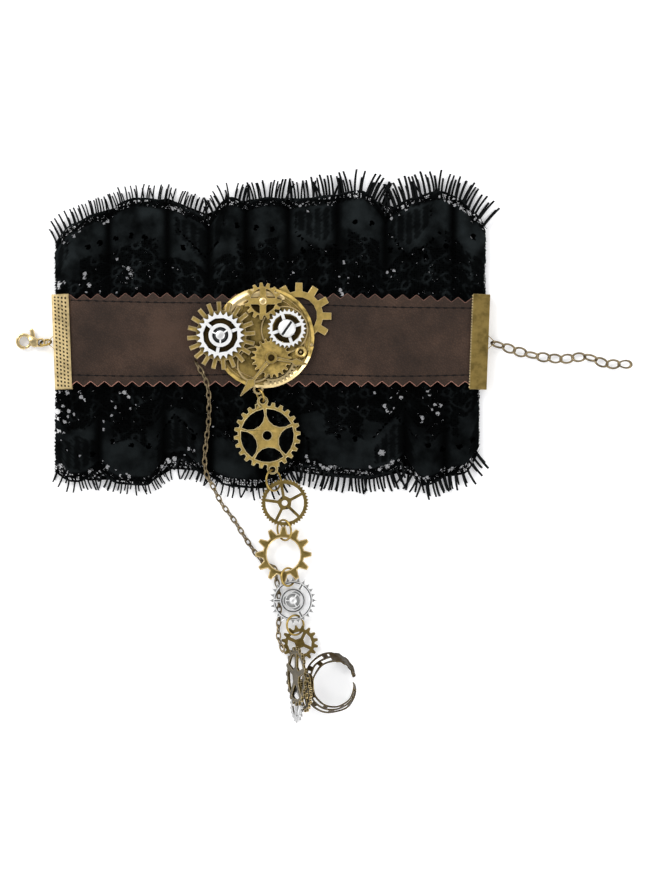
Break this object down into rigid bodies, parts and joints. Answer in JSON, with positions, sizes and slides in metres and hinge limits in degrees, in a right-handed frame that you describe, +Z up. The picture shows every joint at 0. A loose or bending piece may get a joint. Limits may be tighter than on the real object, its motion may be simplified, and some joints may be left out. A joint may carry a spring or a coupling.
{
  "type": "lace armband",
  "caption": "Wrist cuff laid flat: pinked leather band between gathered lace ruffles, gear medallion, clasp and chain, and a drop of gears to an open finger ring.",
  "frame": {"origin": "middle of the armband's box, on the surface that it lies on", "axes": "+X along the band from the clasp to the extension chain, +Y towards the upper lace, away from the finger ring, +Z up, out of the face with the gears"},
  "size_m": [0.256, 0.2272, 0.0234],
  "materials": {
    "leather_brown": "worn, grained, pinked edge",
    "lace_black": "matt black lace with eyelash edge",
    "antique_brass": "antique, dark in the recesses",
    "silver": "bright silver plate, lightly worn"
  },
  "bodies": {
    "root": {"leather_band": "leather_brown", "lace_ruffle_upper": "lace_black", "lace_ruffle_lower": "lace_black", "lace_back_upper": "lace_black", "lace_back_lower": "lace_black", "clamp_left": "antique_brass", "clamp_right": "antique_brass", "medallion_plate": "antique_brass", "spur_gear": "antique_brass", "cross_gear": "antique_brass", "dial_gear": "antique_brass", "broken_ring_gear": "antique_brass", "clock_hands": "antique_brass", "eyelet": "antique_brass", "drop_gear_1": "antique_brass", "drop_gear_2": "antique_brass", "drop_gear_3": "antique_brass", "drop_gear_5": "antique_brass", "drop_ring_1": "antique_brass", "drop_ring_2": "antique_brass", "drop_ring_3": "antique_brass", "drop_ring_4": "antique_brass", "drop_ring_5": "antique_brass", "clasp_body": "antique_brass", "clasp_ring": "antique_brass", "extension_chain": "antique_brass", "side_chain": "antique_brass", "ring_band": "antique_brass", "ring_gear_big": "antique_brass", "ring_gear_small": "antique_brass", "silver_gear_left": "silver", "silver_screw_gear": "silver", "slotted_screw": "silver", "drop_gear_4": "silver", "ring_gear_silver": "silver"},
    "lever": {"clasp_lever": "antique_brass"}
  },
  "joints": [
    {"name": "clasp_lever_hinge", "type": "hinge", "parent": "root", "child": "lever", "pos_m": [-0.12079, 0.04367, 0.0016], "axis": [0, 0, -1], "range_deg": [0, 25], "stiffness_Nm_per_rad": 0.01}
  ]
}
